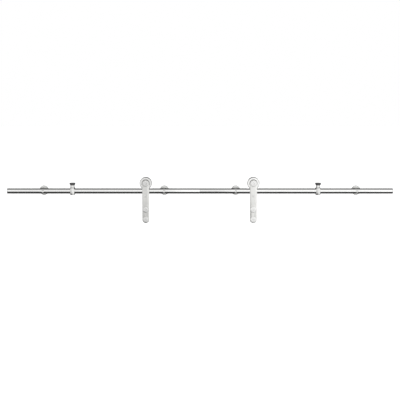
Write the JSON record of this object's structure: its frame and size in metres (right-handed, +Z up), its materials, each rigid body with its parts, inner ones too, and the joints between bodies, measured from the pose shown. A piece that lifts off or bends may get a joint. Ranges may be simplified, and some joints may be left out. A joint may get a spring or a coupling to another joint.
{
  "type": "sliding barn door hardware",
  "caption": "Wall-mounted round bar rail with wheeled strap hangers that roll along it between rubber-tipped end stops, to carry a sliding door.",
  "frame": {"origin": "on the wall plane, level with the rail's axis, behind the joint in the middle of the rail", "axes": "+X to the right along the rail as seen from the room, +Y into the wall, +Z up"},
  "size_m": [1.83, 0.1078, 0.2173],
  "materials": {
    "rail_steel": "stainless tube, satin with fine lengthways grain",
    "strap_steel": "stainless plate, upright brushed grain, edges broken",
    "wheel_steel": "turned stainless steel, fine turning marks",
    "turned_steel": "turned stainless steel, satin",
    "fastener_steel": "stainless fasteners, satin heads",
    "bearing_steel": "ground and polished bearing steel",
    "rubber": "moulded black rubber",
    "nylon": "black nylon, satin"
  },
  "bodies": {
    "rail": {"rail_left": "rail_steel", "end_cap_left": "turned_steel", "rail_right": "rail_steel", "end_cap_right": "turned_steel", "rail_joiner": "turned_steel", "mount_1_rosette": "turned_steel", "mount_1_spacer": "turned_steel", "mount_1_screw": "fastener_steel", "mount_2_rosette": "turned_steel", "mount_2_spacer": "turned_steel", "mount_2_screw": "fastener_steel", "mount_3_rosette": "turned_steel", "mount_3_spacer": "turned_steel", "mount_3_screw": "fastener_steel", "mount_4_rosette": "turned_steel", "mount_4_spacer": "turned_steel", "mount_4_screw": "fastener_steel"},
    "left_hanger": {"left_strap": "strap_steel", "left_axle_bolt": "fastener_steel", "left_axle_spacer": "turned_steel", "left_axle_nut": "fastener_steel", "left_bearing_inner_ring": "bearing_steel", "left_anti_jump_screw": "fastener_steel", "left_anti_jump_nut": "fastener_steel", "left_upper_door_bolt": "fastener_steel", "left_upper_door_nut": "fastener_steel", "left_lower_door_bolt": "fastener_steel", "left_lower_door_nut": "fastener_steel"},
    "left_wheel": {"left_wheel": "wheel_steel", "left_bearing_outer_ring": "bearing_steel", "left_circlip": "bearing_steel"},
    "left_ball_cage": {"left_ball_cage": "bearing_steel"},
    "left_anti_jump_roller": {"left_anti_jump_roller": "nylon"},
    "right_hanger": {"right_strap": "strap_steel", "right_axle_bolt": "fastener_steel", "right_axle_spacer": "turned_steel", "right_axle_nut": "fastener_steel", "right_bearing_inner_ring": "bearing_steel", "right_anti_jump_screw": "fastener_steel", "right_anti_jump_nut": "fastener_steel", "right_upper_door_bolt": "fastener_steel", "right_upper_door_nut": "fastener_steel", "right_lower_door_bolt": "fastener_steel", "right_lower_door_nut": "fastener_steel"},
    "right_wheel": {"right_wheel": "wheel_steel", "right_bearing_outer_ring": "bearing_steel", "right_circlip": "bearing_steel"},
    "right_ball_cage": {"right_ball_cage": "bearing_steel"},
    "right_anti_jump_roller": {"right_anti_jump_roller": "nylon"},
    "left_stop": {"left_stop_collar": "turned_steel", "left_stop_bumper": "rubber", "left_bumper_screw": "fastener_steel", "left_stop_set_screw": "fastener_steel"},
    "right_stop": {"right_stop_collar": "turned_steel", "right_stop_bumper": "rubber", "right_bumper_screw": "fastener_steel", "right_stop_set_screw": "fastener_steel"}
  },
  "joints": [
    {"name": "left_hanger_slide", "type": "slide", "parent": "rail", "child": "left_hanger", "axis": [1, 0, 0], "range_m": [-0.3047, 0.227]},
    {"name": "left_wheel_spin", "type": "hinge", "parent": "left_hanger", "child": "left_wheel", "pos_m": [-0.257, -0.038, 0.0373], "axis": [0, 1, 0], "continuous": true},
    {"name": "left_ball_cage_spin", "type": "hinge", "parent": "left_hanger", "child": "left_ball_cage", "pos_m": [-0.257, -0.038, 0.0373], "axis": [0, 1, 0], "continuous": true},
    {"name": "left_anti_jump_roller_spin", "type": "hinge", "parent": "left_hanger", "child": "left_anti_jump_roller", "pos_m": [-0.257, -0.038, -0.0226], "axis": [0, 1, 0], "continuous": true},
    {"name": "left_stop_slide", "type": "slide", "parent": "rail", "child": "left_stop", "axis": [1, 0, 0], "range_m": [-0.115, 0]},
    {"name": "right_hanger_slide", "type": "slide", "parent": "rail", "child": "right_hanger", "axis": [1, 0, 0], "range_m": [-0.223, 0.2637]},
    {"name": "right_wheel_spin", "type": "hinge", "parent": "right_hanger", "child": "right_wheel", "pos_m": [0.253, -0.038, 0.0373], "axis": [0, 1, 0], "continuous": true},
    {"name": "right_ball_cage_spin", "type": "hinge", "parent": "right_hanger", "child": "right_ball_cage", "pos_m": [0.253, -0.038, 0.0373], "axis": [0, 1, 0], "continuous": true},
    {"name": "right_anti_jump_roller_spin", "type": "hinge", "parent": "right_hanger", "child": "right_anti_jump_roller", "pos_m": [0.253, -0.038, -0.0226], "axis": [0, 1, 0], "continuous": true},
    {"name": "right_stop_slide", "type": "slide", "parent": "rail", "child": "right_stop", "axis": [1, 0, 0], "range_m": [0, 0.16]}
  ],
  "couplings": [
    {"joint": "left_wheel_spin", "follows": "left_hanger_slide", "rad_per_m": 40.323},
    {"joint": "left_ball_cage_spin", "follows": "left_hanger_slide", "rad_per_m": 25.081},
    {"joint": "right_wheel_spin", "follows": "right_hanger_slide", "rad_per_m": 40.323},
    {"joint": "right_ball_cage_spin", "follows": "right_hanger_slide", "rad_per_m": 25.081}
  ]
}
